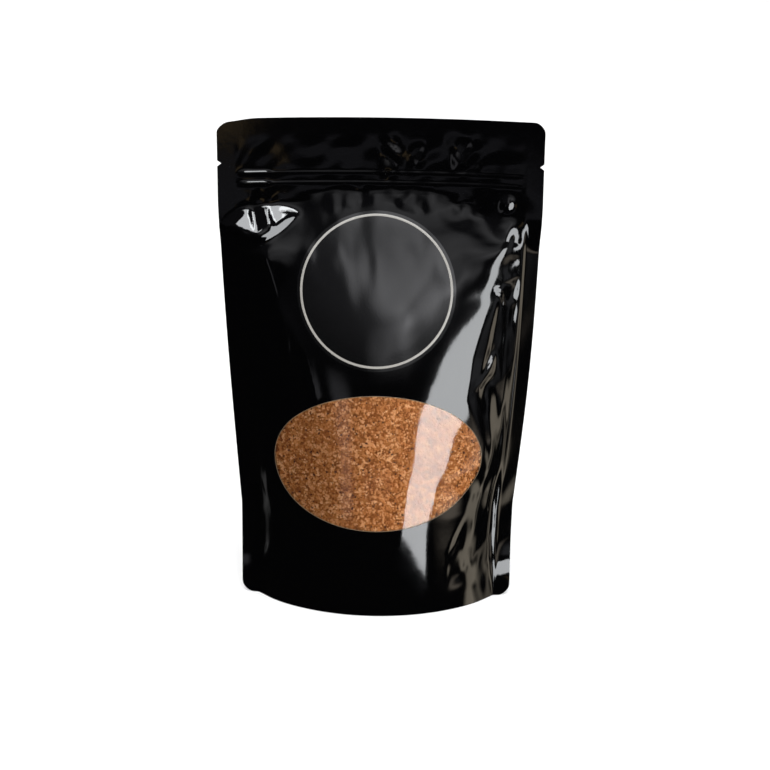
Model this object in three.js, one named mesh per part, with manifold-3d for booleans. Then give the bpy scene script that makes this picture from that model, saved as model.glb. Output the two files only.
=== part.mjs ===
// A filled stand-up pouch of glossy film that holds a milled seed mix.
// It stands on the open fold of its base with its front towards -Y. The panels are sealed together
// along both sides and across the header, where a press-to-close zip runs from side to side. An
// oval window in the front panel shows the mix, and a round label is stuck on above it.
// Millimetres, +Z up, origin on the table under the middle of the base.

import * as THREE from "three";
import { mergeVertices } from "three/addons/utils/BufferGeometryUtils.js";
import Module from "manifold-3d";

const FRONT = -1;
const BACK = 1;

// Pouch
const FLAT_WIDTH = 160; // across the empty, flat pouch
const BASE_WIDTH = 140.5; // across the filled pouch, where it stands
const HEIGHT = 248;
const CROWN = 1.5; // the middle of the top edge stands this much above its ends
const HEADER_BOW = 5; // the middle of the header leans back this much
const FILM = 1; // both plies of a seal together
const SIDE_SEAL = 8;
const SHOULDER = 207; // the panels part below this height
const SHOULDER_SOFTNESS = 13;
const FULL_BELOW = 50; // the pouch keeps its base width up to this height
const TAPER_CURVE = 0.4; // how much of the taper above that is curved, the rest being straight
const RIGHT_SWELL = { out: 1.7, height: 115, tall: 70 }; // the right edge hangs out a little
const TOP_CORNER = 6;
const TOP_DROOP = { fall: 1.8, along: 22, down: 18 }; // the top edge falls away at its left end
const BASE_CORNER = 7;

// Header
const NOTCH = { height: HEIGHT - 20, depth: 2, opening: 3 };
const ZIP = { radius: 1.3, length: FLAT_WIDTH - 2 * SIDE_SEAL, heights: [HEIGHT - 26.5, HEIGHT - 31.5] };

// Base
const RIM = 2.2; // thickness of the standing seal
const GROOVE = { width: 5, depth: 3 }; // between that seal and the fold that rests on the table
const POINTED = 1.8; // an inset outline draws in this much faster at its pointed ends
const BASE_TUCK = 0.02; // share by which the belly draws in at the table
const BASE_TUCK_HEIGHT = 14;

// Loose film: the side seals sway and lean back, the shoulders pucker, a fold runs up the right side
// of the front, and dents and bumps lie across the panels
const SEAL_SWAY = 1.4;
const SWAY_PITCH = 130;
const SWAY_PHASE = 1.5; // radians, ahead on the right and behind on the left
const SEAL_LEAN = { left: 16, right: 33, from: 4, full: 34, fading: 183, gone: 201 }; // degrees, heights
const BOW_FROM = 120; // the header's bow reaches down to this height
const PUCKER = { depth: 0.7, pitch: 37, reach: 11, phase: 2, finer: 0.62, finerShare: 0.6, finerPhase: 3 };
const FREE_BULGE = 10; // where a panel stands out this far, its film is free to fold
const HELD_NEAR_SEAL = 4; // and this close to a seal it lies flat
const FOLD = {
  x: [53.7, 50.2, 43.1, 45.5, 50.3, 53.1, 57.4, 61, 65],
  z: [59, 87, 110, 130, 150, 163, 180, 187, 203],
  height: 2,
  reach: 14, // inwards; outwards it falls evenly to the seal
  fade: 14, // at both ends
};
const DENTS = [
  { side: FRONT, x: -58, z: 186, wide: 12, tall: 10, depth: -4 }, // the boxy left shoulder, a bump
  { side: BACK, x: 26, z: 184, wide: 22, tall: 12, depth: 2.4 },
  { side: BACK, x: -50, z: 150, wide: 10, tall: 28, depth: 2.2 },
];

// Window and label, measured in front view
const WINDOW = { x: -0.5, z: 78.5, halfWidth: 51.2, halfHeight: 33.8, depth: 4 };
const LABEL = { x: -1.5, z: 163, radius: 39.5, thickness: 0.6 };
const GAP = 0.3; // between two pieces that touch

// Mesh density and sizes of cutters
const PANEL_COLUMNS = 32;
const SEAL_COLUMNS = 2;
const ROWS = 37;
const PATCH_SECTORS = 40;
const PATCH_RINGS = 6;
const BASE_STEPS = 20;
const CORNER_STEPS = 7;
const RIB_SIDES = 10;
const RIB_STEPS = 16;
const OVER = 2; // how far a cutter reaches past what it cuts

const wasm = await Module();
wasm.setup();

// ---- Form of the filled pouch ----

const clamp01 = (value) => Math.min(1, Math.max(0, value));
const HALF_WIDTH = FLAT_WIDTH / 2;

function ease(value) {
  const share = clamp01(value);
  return share * share * (3 - 2 * share);
}

// Half the width of the pouch, side seals included.
function halfWidth(z) {
  const rise = clamp01((z - FULL_BELOW) / (SHOULDER - FULL_BELOW));
  const eased = (1 - TAPER_CURVE) * rise + TAPER_CURVE * Math.sin((rise * Math.PI) / 2);
  return (BASE_WIDTH + (FLAT_WIDTH - BASE_WIDTH) * eased) / 2;
}

// How far the middle of a panel stands out. Film doesn't stretch, so the arc between the seals keeps
// its flat length and bulges as the seals draw together.
function bulge(z) {
  if (z >= SHOULDER) return 0;
  const arc = FLAT_WIDTH - 2 * SIDE_SEAL;
  const chord = 2 * (halfWidth(z) - SIDE_SEAL);
  const full = Math.sqrt((3 / 8) * chord * (arc - chord)); // of a shallow arc
  const shoulder = 1 - Math.exp((z - SHOULDER) / SHOULDER_SOFTNESS);
  const tuck = 1 - BASE_TUCK * Math.exp(-z / BASE_TUCK_HEIGHT);
  return full * shoulder * tuck;
}

// Height of a circular arc over its chord.
function arcRise(x, halfChord, sagitta) {
  if (sagitta < 1e-6 || Math.abs(x) >= halfChord) return 0;
  const radius = (halfChord ** 2 + sagitta ** 2) / (2 * sagitta);
  return Math.sqrt(radius ** 2 - x ** 2) - (radius - sagitta);
}

// Where a line through points of rising height lies at a height.
function lineAt({ x, z }, height) {
  const above = z.findIndex((each) => each >= height);
  if (above === 0) return x[0];
  if (above < 0) return x[x.length - 1];
  const share = (height - z[above - 1]) / (z[above] - z[above - 1]);
  return x[above - 1] + share * (x[above] - x[above - 1]);
}

// The long fold up the right side of the front panel.
function longFold(x, z, inner) {
  const at = lineAt(FOLD, z);
  const run = ease((z - FOLD.z[0]) / FOLD.fade) * ease((FOLD.z[FOLD.z.length - 1] - z) / FOLD.fade);
  const profile = x < at ? Math.exp((x - at) / FOLD.reach) : clamp01(1 - (x - at) / (inner - at));
  return FOLD.height * run * profile;
}

// Small puckers that run in from the side seals.
function puckers(x, z, inner, side) {
  const fromSeal = (inner - Math.abs(x)) / PUCKER.reach;
  if (fromSeal <= 0) return 0;
  const turn = (2 * Math.PI * z) / PUCKER.pitch;
  const wave =
    Math.sin(turn + PUCKER.phase * Math.sign(x) + side) +
    PUCKER.finerShare * Math.sin(turn / PUCKER.finer + PUCKER.finerPhase * Math.sign(x) - side);
  return PUCKER.depth * fromSeal * Math.exp(1 - fromSeal) * wave * Math.sin(Math.PI * clamp01(z / SHOULDER));
}

// What a panel's outer face gains and loses by its puckers, fold, dents and bumps.
function looseness(x, z, side) {
  const inner = halfWidth(z) - SIDE_SEAL;
  let total = puckers(x, z, inner, side);
  for (const dent of DENTS) {
    const off = ((x - dent.x) / dent.wide) ** 2 + ((z - dent.z) / dent.tall) ** 2;
    if (dent.side === side) total -= dent.depth * Math.exp(-off);
  }
  if (side === FRONT) total += longFold(x, z, inner);
  const nearSeal = clamp01((inner - Math.abs(x)) / HELD_NEAR_SEAL);
  return total * clamp01(bulge(z) / FREE_BULGE) * clamp01(z / FULL_BELOW) * nearSeal;
}

// How far a panel's outer face stands off the middle plane at a point of the front view.
function standOff(x, z, side) {
  const inner = halfWidth(z) - SIDE_SEAL;
  return FILM / 2 + arcRise(x, inner, bulge(z)) + looseness(x, z, side);
}

// The seals sway out of the middle plane, and the table and the zip hold them straight.
function sway(x, z) {
  const share = (x / halfWidth(z)) ** 4;
  const free = Math.sin(Math.PI * clamp01(z / SHOULDER));
  return SEAL_SWAY * share * free * Math.sin((2 * Math.PI * z) / SWAY_PITCH + SWAY_PHASE * Math.sign(x));
}

// The header bows back between its ends, and this dies out down the panels.
function headerBow(x, z) {
  return HEADER_BOW * (1 - (x / HALF_WIDTH) ** 2) * ease((z - BOW_FROM) / (SHOULDER - BOW_FROM));
}

// The side seals lean back, the right one more than the left.
function sealLean(x, z) {
  const past = Math.max(Math.abs(x) - (halfWidth(z) - SIDE_SEAL), 0);
  const slope = Math.tan(THREE.MathUtils.degToRad(x < 0 ? SEAL_LEAN.left : SEAL_LEAN.right));
  const rising = ease((z - SEAL_LEAN.from) / (SEAL_LEAN.full - SEAL_LEAN.from));
  return past * slope * rising * ease((SEAL_LEAN.gone - z) / (SEAL_LEAN.gone - SEAL_LEAN.fading));
}

const faceY = (x, z, side) => side * standOff(x, z, side) + sway(x, z) + headerBow(x, z) + sealLean(x, z);

// The right edge hangs out a little below the shoulder.
function swell(x, z) {
  const tall = ((z - RIGHT_SWELL.height) / RIGHT_SWELL.tall) ** 2;
  return RIGHT_SWELL.out * ease(x / HALF_WIDTH) * Math.exp(-tall);
}

// The film draws down towards the sides, and not where it stands on the table.
function crownDrop(x, z) {
  const droop = ease((TOP_DROOP.along - HALF_WIDTH - x) / TOP_DROOP.along);
  const share = clamp01((z - HEIGHT) / TOP_DROOP.down + 1);
  return CROWN * (x / HALF_WIDTH) ** 2 * (z / HEIGHT) + TOP_DROOP.fall * droop * share;
}

// ---- Solids ----

function toSolid(geometry) {
  const bare = geometry.clone();
  bare.deleteAttribute("normal");
  bare.deleteAttribute("uv");
  const merged = mergeVertices(bare, 1e-4);
  return new wasm.Manifold(
    new wasm.Mesh({
      numProp: 3,
      vertProperties: merged.attributes.position.array,
      triVerts: new Uint32Array(merged.index.array),
    }),
  );
}

function toGeometry(solid) {
  const { vertProperties, triVerts } = solid.getMesh();
  const geometry = new THREE.BufferGeometry();
  geometry.setAttribute("position", new THREE.BufferAttribute(vertProperties, 3));
  geometry.setIndex(new THREE.BufferAttribute(triVerts, 1));
  geometry.computeVertexNormals();
  return geometry;
}

function moveEach(geometry, place) {
  const position = geometry.attributes.position;
  const point = new THREE.Vector3();
  for (let i = 0; i < position.count; i++) {
    point.fromBufferAttribute(position, i);
    place(point);
    position.setXYZ(i, point.x, point.y, point.z);
  }
  return geometry;
}

// Both panels with their seals, from a box of one layer that is drawn into the pouch's form.
function filledBody() {
  const columns = PANEL_COLUMNS + 2 * SEAL_COLUMNS;
  const panelShare = PANEL_COLUMNS / columns;
  const box = new THREE.BoxGeometry(2, 2, 1, columns, 1, ROWS);
  return moveEach(box, (point) => {
    const across = Math.abs(point.x);
    const z = (point.z + 0.5) * HEIGHT;
    const inner = halfWidth(z) - SIDE_SEAL;
    const x =
      Math.sign(point.x) *
      (across <= panelShare
        ? (across / panelShare) * inner
        : inner + ((across - panelShare) / (1 - panelShare)) * SIDE_SEAL);
    point.set(x + swell(x, z), faceY(x, z, point.y < 0 ? FRONT : BACK), z - crownDrop(x, z));
  });
}

// A slab that follows the front panel inside an oval of the front view, from one stand-off to another.
function frontPatch({ x, z, halfWidth: wide, halfHeight: tall }, inside, outside) {
  const profile = [];
  for (let ring = 0; ring <= PATCH_RINGS; ring++) profile.push(new THREE.Vector2(ring / PATCH_RINGS, 0));
  for (let ring = PATCH_RINGS; ring >= 0; ring--) profile.push(new THREE.Vector2(ring / PATCH_RINGS, 1));
  const disc = new THREE.LatheGeometry(profile, PATCH_SECTORS).rotateX(Math.PI / 2);
  return moveEach(disc, (point) => {
    const atX = x + point.x * wide;
    const atZ = z + point.y * tall;
    const off = point.z > 0.5 ? outside : inside;
    point.set(atX + swell(atX, atZ), faceY(atX, atZ, FRONT) - off, atZ - crownDrop(atX, atZ));
  });
}

// What a rounded corner takes off a square one, as a prism through the pouch.
function cornerCut(x, z, radius, right, up) {
  const shape = new THREE.Shape();
  shape.moveTo(-radius, 0);
  shape.absarc(-radius, -radius, radius, Math.PI / 2, 0, true);
  shape.lineTo(OVER, -radius);
  shape.lineTo(OVER, OVER);
  shape.lineTo(-radius, OVER);
  shape.closePath();
  const depth = FLAT_WIDTH; // right through the pouch
  const prism = new THREE.ExtrudeGeometry(shape, { depth, bevelEnabled: false, curveSegments: CORNER_STEPS });
  prism.translate(0, 0, -FLAT_WIDTH / 2).rotateX(Math.PI / 2);
  const cut = toSolid(prism);
  const mirrored = cut.scale([right, 1, up]);
  return mirrored.translate([x, 0, z]);
}

function notchCut(right) {
  const shape = new THREE.Shape();
  shape.moveTo(-NOTCH.depth, 0);
  const wider = (NOTCH.depth + OVER) / NOTCH.depth;
  shape.lineTo(OVER, (-NOTCH.opening / 2) * wider);
  shape.lineTo(OVER, (NOTCH.opening / 2) * wider);
  shape.closePath();
  const prism = new THREE.ExtrudeGeometry(shape, { depth: FLAT_WIDTH, bevelEnabled: false });
  prism.translate(0, 0, -FLAT_WIDTH / 2).rotateX(Math.PI / 2);
  const height = NOTCH.height - crownDrop(HALF_WIDTH, NOTCH.height);
  return toSolid(prism).scale([right, 1, 1]).translate([right * HALF_WIDTH, 0, height]);
}

// One rib of the zip, bowed with the header.
function zipRib(height) {
  const rib = new THREE.CylinderGeometry(ZIP.radius, ZIP.radius, ZIP.length, RIB_SIDES, RIB_STEPS);
  rib.rotateZ(Math.PI / 2);
  moveEach(rib, (point) =>
    point.set(point.x, point.y + headerBow(point.x, height), point.z + height - crownDrop(point.x, height)),
  );
  return toSolid(rib);
}

// The outline of the base, drawn in from the panels: two arcs that meet at the side seals.
function baseOutline(inset) {
  const halfChord = BASE_WIDTH / 2 - SIDE_SEAL - inset * POINTED;
  const sagitta = bulge(0) - inset;
  const outline = [];
  for (const side of [FRONT, BACK]) {
    for (let i = 0; i < BASE_STEPS; i++) {
      const x = -side * halfChord * ((2 * i) / BASE_STEPS - 1);
      outline.push(new THREE.Vector2(x, side * arcRise(x, halfChord, sagitta)));
    }
  }
  return outline;
}

function baseGroove() {
  const ring = new THREE.Shape(baseOutline(RIM));
  ring.holes.push(new THREE.Path(baseOutline(RIM + GROOVE.width)));
  const prism = new THREE.ExtrudeGeometry(ring, { depth: GROOVE.depth + OVER, bevelEnabled: false });
  return toSolid(prism.translate(0, 0, -OVER));
}

function pouchSolid() {
  let pouch = toSolid(filledBody());
  for (const height of ZIP.heights) pouch = pouch.add(zipRib(height));
  for (const right of [-1, 1]) {
    const top = HEIGHT - crownDrop(right * HALF_WIDTH, HEIGHT);
    pouch = pouch.subtract(cornerCut(right * HALF_WIDTH, top, TOP_CORNER, right, 1));
    pouch = pouch.subtract(cornerCut((right * BASE_WIDTH) / 2, 0, BASE_CORNER, right, -1));
    pouch = pouch.subtract(notchCut(right));
  }
  const pocket = toSolid(frontPatch(WINDOW, -WINDOW.depth, OVER));
  return pouch.subtract(baseGroove()).subtract(pocket);
}

function seedMixSolid() {
  const oval = { ...WINDOW, halfWidth: WINDOW.halfWidth - GAP, halfHeight: WINDOW.halfHeight - GAP };
  return toSolid(frontPatch(oval, GAP - WINDOW.depth, 0));
}

function labelSolid() {
  const disc = { ...LABEL, halfWidth: LABEL.radius, halfHeight: LABEL.radius };
  return toSolid(frontPatch(disc, GAP, GAP + LABEL.thickness));
}

// ---- The object ----

const MATERIALS = {
  film: new THREE.MeshStandardMaterial({ color: 0x060607, roughness: 0.12, metalness: 0 }),
  mix: new THREE.MeshStandardMaterial({ color: 0xa8713f, roughness: 0.8, metalness: 0 }),
  label: new THREE.MeshStandardMaterial({ color: 0x141313, roughness: 0.45, metalness: 0 }),
};

function piece(name, solid, material) {
  const mesh = new THREE.Mesh(toGeometry(solid), material);
  mesh.name = name;
  return mesh;
}

const pouch = new THREE.Group();
pouch.add(piece("pouch", pouchSolid(), MATERIALS.film));
pouch.add(piece("seed_mix", seedMixSolid(), MATERIALS.mix));
pouch.add(piece("label", labelSolid(), MATERIALS.label));

export default pouch;
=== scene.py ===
# A filled stand-up pouch of glossy black film, with an oval clear window onto a milled seed mix and a
# round satin label. The film is relaxed here as a thin sheet that keeps its flat size, so its folds
# and dents are real geometry. Sizes are in millimetres up to the moment a mesh is made.
import math

import bpy
import numpy as np
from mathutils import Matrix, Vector


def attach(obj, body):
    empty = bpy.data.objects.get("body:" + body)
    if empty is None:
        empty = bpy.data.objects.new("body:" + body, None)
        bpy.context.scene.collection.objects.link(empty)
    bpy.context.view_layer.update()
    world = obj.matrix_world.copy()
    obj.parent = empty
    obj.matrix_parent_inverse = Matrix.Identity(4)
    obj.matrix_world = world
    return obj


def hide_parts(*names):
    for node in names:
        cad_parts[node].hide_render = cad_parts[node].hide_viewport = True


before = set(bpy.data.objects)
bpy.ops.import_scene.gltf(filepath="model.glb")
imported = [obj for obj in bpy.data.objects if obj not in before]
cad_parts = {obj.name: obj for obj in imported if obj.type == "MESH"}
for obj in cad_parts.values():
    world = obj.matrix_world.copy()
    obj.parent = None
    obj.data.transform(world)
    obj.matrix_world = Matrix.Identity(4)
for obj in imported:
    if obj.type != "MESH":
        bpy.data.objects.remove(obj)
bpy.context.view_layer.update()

MM = 0.001
ROOT = "root"
FRONT, BACK = 0, 1
OUTWARD = (-1.0, 1.0)  # along Y, of the front and the back panel

# ---- Sizes of the pouch, as in the frame ----
FLAT_WIDTH = 160.0
BASE_WIDTH = 140.5
HEIGHT = 248.0
CROWN = 1.5
HEADER_BOW = 5.0
BOW_FROM = 120.0
SIDE_SEAL = 8.0
SHOULDER = 207.0
SHOULDER_SOFTNESS = 13.0
FULL_BELOW = 50.0
TAPER = (0.6, 0.4)  # shares of an even and an early widening towards the shoulder
BASE_TUCK = 0.02
BASE_TUCK_HEIGHT = 14.0
TOP_CORNER = 6.0
TOP_DROOP = 1.8  # the top edge falls away at its left end
TOP_DROOP_REACH = (22.0, 18.0)  # along the edge and down the header
BASE_CORNER = 7.0
RIGHT_SWELL = 1.7  # the right edge hangs out a little further below the shoulder
RIGHT_SWELL_HEIGHT = 115.0
RIGHT_SWELL_REACH = 70.0
HALF = FLAT_WIDTH / 2
PANEL_HALF = HALF - SIDE_SEAL

# ---- The flat film: u runs across from -HALF to HALF, v from the bottom edge up ----
FILM_HEIGHT = 249.0
FILM = 0.16  # half the thickness of a sealed header
ZIP_HEIGHTS = (FILM_HEIGHT - 26.5, FILM_HEIGHT - 31.5)
NOTCH_HEIGHT = FILM_HEIGHT - 21.5
NOTCH_HALF = 1.5
NOTCH_DEPTH = 2.0
NOTCH_REACH = 5.0  # inwards, over which the mesh gives way to it
WINDOW = {"u": -0.5, "v": 78.8, "half_width": 54.6, "half_height": 33.9, "rim": 0.25}
LABEL = {"u": -1.5, "v": 164.2, "radius": 39.5, "ring": 37.4, "ring_width": 1.15}
CRUMB_RELIEF = ((9.0, 0.12), (4.0, 0.14), (1.9, 0.28), (1.0, 0.24))  # uneven packing, length and height
FILL_TOP = 168.0
FILL_FADE = 40.0
FILL_SHARE = 0.95  # the contents fill the panels less than tight, which leaves slack for folds
BELLY_GAP = 2.0  # between the contents and the side seals
BELLY_TAPER = 10.0  # more of it higher up
BELLY_TAPER_RUN = (20.0, 150.0)  # from this height, over this much
STANDING_SEAL = {"from": 0.12, "over": 0.5, "lift": 0.45, "height": 4.6, "wide": 0.7, "fall": 4.2,
                 "curve": 1.6}
STICKER = (0.04, 0.17)  # its back and its face, above the film
BAND_HEIGHT = 0.035
INK_STAND = 0.175
RIM_STAND = 0.02
CORE_DEPTH = 1.15  # of the mix's face below the film
CORE_RELIEF = 0.55
CORE_BACK = (5.0, 3.0)  # depth in the middle, and how much less at the edge

COARSE_CELLS = (32, 50)  # across and up, where the relaxing of the film starts
# steps, resistance to bending, and the cells and size of the bumps each finer grid starts with
STAGES = ((300, 0.1, (11, 9), 1.2), (400, 0.08, (24, 16), 0.4), (300, 0.06, (50, 32), 0.1))
# how far each step draws a point to its goal, along X, Y and Z
PULL_SEALED = (0.05, 0.003, 0.01)
PULL_FREE = (0.0005, 0.0006, 0.0005)
PULL_HEADER = (0.02, 0.01, 0.02)
PULL_BASE = 0.3
HEADER_ABOVE = 4.0  # over the shoulder
STRETCH = 0.9  # how stiffly lengths are kept, along the grid and along its diagonals
SHEAR = 0.35
# the mesh that is rendered: its pitch, and the closer lines at a rib, a notch and a seal's edge
MESH_PITCH = 1.25
RIB_LINES = (-1.9, -1.3, -0.9, -0.55, -0.25, 0.0, 0.25, 0.55, 0.9, 1.3, 1.9)
NOTCH_LINES = (-1.5, -0.75, 0.0, 0.75, 1.5)
SEAL_LINES = (-1.2, -0.6, 0.0, 0.6, 1.2)
BASE_STEPS = 14
BASE_SPACING = 2.2
SEED = 7

# ---- Folds and dents, on the flat film ----
SEAL_LEAN = (16.0, 33.0)  # degrees, of the left and the right side seal
# heights, and how far out the crushed film of a flank begins there
FLANK_RIGHT = ((0, 30, 50, 80, 100, 111, 150, 200), (36, 36, 46, 58, 54, 50, 56, 65))
FLANK_LEFT = ((0, 50, 80, 110, 200), (52, 54, 60, 56, 60))
FLANK_SUNK = 0.6  # the right flank lies this much below the panel
FLANK_CELLS = (((9.0, 21.0), 0.95), ((3.2, 9.0), 0.12))  # coarse and fine facets: cell and height
LEFT_FLANK_SHARE = 0.4
CRUSHED_CELL = (3.4, 6.0)
CREST_FADE = 14.0
CREST_SOFTNESS = 0.6
# each: (v, u) along the fold from its lower end, height and reach
CRESTS = (
    (((30, 52), (60, 57), (80, 60), (100, 58), (120, 56)), 0.6, 2.5),
    (((40, 63), (70, 65), (100, 66), (130, 65), (160, 66), (188, 70)), 0.5, 2.2),
    (((86, -41), (96, -42), (110, -43.5), (143, -47.5), (173, -53.5), (192, -60)), 1.0, 3.5),
    (((98, -29), (111, -31.5), (131, -36.5), (152, -47.5), (160, -50)), 0.5, 2.0),
    (((40, -58), (60, -60), (100, -62), (140, -64), (185, -67)), 0.4, 3.0),
)
# the same with a softness for each, under the label and the window too; towards the seal they fall evenly
BROAD_FOLDS = (
    (((60, 60), (88, 54), (111, 45), (131, 47), (151, 51.5), (164, 54), (181, 58), (188, 61.5), (204, 65)),
     2.3, 14.0, 1.2),
    (((118, 46), (131, 47), (151, 51.5), (164, 54), (181, 58), (198, 63)), -0.55, 8.0, 1.2),
)
# a bump or dent: (u, v), half width and half height, height, turn in degrees
BOXY = ((-57.0, 182.0), (12.0, 15.0), 3.2, 0.0)
# the flat facet of the boxy shoulder: how far its middle stands out, and its slope across and up
FACET = {"at": (-60.0, 199.0), "size": (16.5, 9.5), "skew": -0.25, "stand": 2.3, "slope": (0.03, 0.53)}
# more bumps, as for BOXY
PUCKERS = (
    ((62.5, 208.5), (2.6, 3.0), 1.2, -20.0),
)
# flat facets of the left shoulder and the right flank, each: corners anticlockwise, slope across and up
FLAT_FACETS = (
    (((-64.5, 204.5), (-61.5, 193.5), (-53.0, 196.0), (-56.5, 206.0)), (0.2, 0.0)),
    (((58.5, 166.0), (64.0, 156.0), (70.0, 167.0)), (-0.2, 0.08)),
    (((49.3, 115.5), (60.8, 122.5), (59.0, 132.5)), (-0.16, 0.07)),
)
FACET_EDGE = 2.2
# each: (u, v), half width and half height of a crushed patch of the header and shoulder, amount
CRUSHED = (
    ((5.0, 229.0), (4.5, 9.0), 0.8),
    ((17.0, 230.0), (4.0, 6.0), 0.7),
    ((41.0, 231.5), (8.5, 8.0), 0.8),
    ((-14.0, 209.0), (13.0, 6.0), 0.35),
    ((16.0, 208.5), (12.0, 6.0), 0.35),
    ((47.0, 206.0), (14.0, 6.0), 0.25),
    ((-56.0, 212.0), (9.0, 5.0), 0.3),
)
# bumps where the sticker lifts off the film, as for BOXY
LABEL_WAVES = (
    ((11.0, 150.0), (11.0, 14.0), 0.5, -12.0),
)
HEADER_WAVES = ((21.0, 0.07), (11.0, 0.035))  # length and height
WAVES_EACH = 5
CALM_REACH = (11.0, 6.0)  # left and right
RIPPLED = (148.0, 198.0)  # heights between which the right flank keeps its ripples

# ---- Light: the floor and the mix are lit from above and all round ----
LIGHT_CENTRE = (0.0, 0.0, 0.12)
OVERHEAD = 2.2
OVERHEAD_SPREAD = 40.0
OVERHEAD_TILT = 30.0
FLOOR_REACH = 40.0
SOFT_BOX_TINT = (0.955, 0.98, 1.0)
WHITE = (1.0, 1.0, 1.0, 1.0)
BLACK = (0.0, 0.0, 0.0, 1.0)
# ---- The camera, fitted to the photograph: degrees, metres, and focal length in pixels of its frame ----
CAMERA = {"azimuth": -0.37, "elevation": 15.15, "roll": 0.73, "distance": 0.750, "focal": 1475.0,
          "frame": 770.0}
CAMERA_TARGET = (0.00357, 0.0, 0.11398)
SENSOR = 36.0
# ---- What the gloss mirrors besides the soft boxes: patches of a dim room, each with where it
# begins, is full, ends being full and ends along two axes of the way it is seen, and its colour
ROOM_BLACK = 0.01
ROOM = (
    ((0, 1, 0), (-0.27, -0.2, -0.02, 0.2), (0.94, 0, -0.34), (0.93, 0.955, 1.0, 1.0), (3.3, 2.9, 2.3)),
    ((1, 0, 0), (0.73, 0.77, 0.86, 0.9), (0, 0, 1), (-0.24, -0.1, 0.5, 0.7), (0.55, 0.56, 0.6)),
    ((1, 0, 0), (-0.42, -0.38, -0.3, -0.24), (0, 0, 1), (-0.26, -0.2, 0.0, 0.06), (0.7, 0.7, 0.75)),
    ((0.809, -0.588, 0), (0.935, 0.955, 1.0, 1.0), (0, 0, 1), (-0.42, -0.38, -0.28, -0.22),
     (2.6, 2.25, 1.85)),
    ((0.725, 0, 0.69), (0.18, 0.27, 0.33, 0.42), (-0.69, 0, 0.725), (-0.12, 0.0, 0.2, 0.42),
     (0.6, 0.6, 0.62)),
    ((1, 0, 0), (-0.1, 0.02, 0.22, 0.3), (0, 0, 1), (0.06, 0.13, 0.24, 0.32), (0.5, 0.5, 0.52)),
    ((1, 0, 0), (0.14, 0.2, 0.27, 0.33), (0, 0, 1), (0.19, 0.24, 0.3, 0.36), (0.6, 0.6, 0.62)),
    ((1, 0, 0), (-0.16, -0.13, 0.13, 0.16), (0, 0, 1), (-0.19, -0.15, -0.117, -0.105), (0.2, 0.2, 0.23)),
    ((1, 0, 0), (0.095, 0.11, 0.2, 0.25), (0, 0, 1), (-0.105, -0.097, -0.06, -0.04), (0.8, 0.57, 0.3)),
    ((0, 0, 1), (0.0, 0.3, 0.9, 1.0), (0, 1, 0), (-1.0, -0.99, 0.99, 1.0), (0.08, 0.08, 0.09)),
    ((0.87, 0.5, 0), (0.93, 0.955, 0.99, 0.999), (0, 0, 1), (-0.5, -0.3, 0.3, 0.6), (3.2, 3.25, 3.4)),
    ((-0.82, 0.57, 0), (0.9, 0.94, 1.0, 1.0), (0, 0, 1), (-0.6, -0.5, 0.2, 0.6), (0.6, 0.6, 0.6)),
    ((1, 0, 0), (-0.09, -0.02, 0.15, 0.24), (0, 0, 1), (0.27, 0.36, 0.48, 0.54), (0.6, 0.6, 0.62)),
)


# ======== Form ========

def clamp01(value):
    return np.clip(value, 0.0, 1.0)


def ease(value):
    t = clamp01(value)
    return t * t * (3.0 - 2.0 * t)


def half_width(z):
    rise = clamp01((z - FULL_BELOW) / (SHOULDER - FULL_BELOW))
    eased = TAPER[0] * rise + TAPER[1] * np.sin(rise * np.pi / 2)
    return (BASE_WIDTH + (FLAT_WIDTH - BASE_WIDTH) * eased) / 2


def bulge(z):
    """How far the middle of a panel stands out, for an arc that keeps its flat length."""
    arc = 2 * PANEL_HALF
    chord = 2 * (half_width(z) - SIDE_SEAL)
    full = np.sqrt(np.maximum(0.375 * chord * (arc - chord), 0.0))
    shoulder = np.maximum(1 - np.exp((z - SHOULDER) / SHOULDER_SOFTNESS), 0.0)
    tuck = 1 - BASE_TUCK * np.exp(-z / BASE_TUCK_HEIGHT)
    return full * shoulder * tuck


def arc_rise(x, half_chord, sagitta):
    sagitta = np.maximum(sagitta, 1e-4)
    radius = (half_chord**2 + sagitta**2) / (2 * sagitta)
    inside = np.abs(x) < half_chord
    rise = np.sqrt(np.maximum(radius**2 - x**2, 0.0)) - (radius - sagitta)
    return np.where(inside, np.maximum(rise, 0.0), 0.0)


def header_bow(x, z):
    return HEADER_BOW * (1 - (x / HALF) ** 2) * ease((z - BOW_FROM) / (SHOULDER - BOW_FROM))


def height_of_film():
    """Heights on the table for points along the film's middle line."""
    z = np.linspace(0.0, HEIGHT, 1500)
    along = np.concatenate([[0.0], np.cumsum(np.hypot(np.diff(z), np.diff(bulge(z))))])
    return along / along[-1] * FILM_HEIGHT, z


ALONG, RISE = height_of_film()


def goal_form(u, v, side):
    """Where a point of the flat film lies on the filled pouch."""
    z = np.interp(v, ALONG, RISE)
    inner = half_width(z) - SIDE_SEAL
    sagitta = np.maximum(bulge(z), 1e-3)
    radius = (inner**2 + sagitta**2) / (2 * sagitta)
    across = np.minimum(np.abs(u), PANEL_HALF)
    x = inner * np.sin(across / radius) / np.sin(PANEL_HALF / radius)
    x = np.sign(u) * (x + np.maximum(np.abs(u) - PANEL_HALF, 0.0))
    x = x + RIGHT_SWELL * ease(u / HALF) * np.exp(-(((z - RIGHT_SWELL_HEIGHT) / RIGHT_SWELL_REACH) ** 2))
    y = OUTWARD[side] * arc_rise(x, inner, sagitta) + header_bow(x, z)
    drop = CROWN * (x / HALF) ** 2 * z / HEIGHT
    return np.stack([x, y, z - drop], axis=-1)


# ======== Film solver ========

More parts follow.
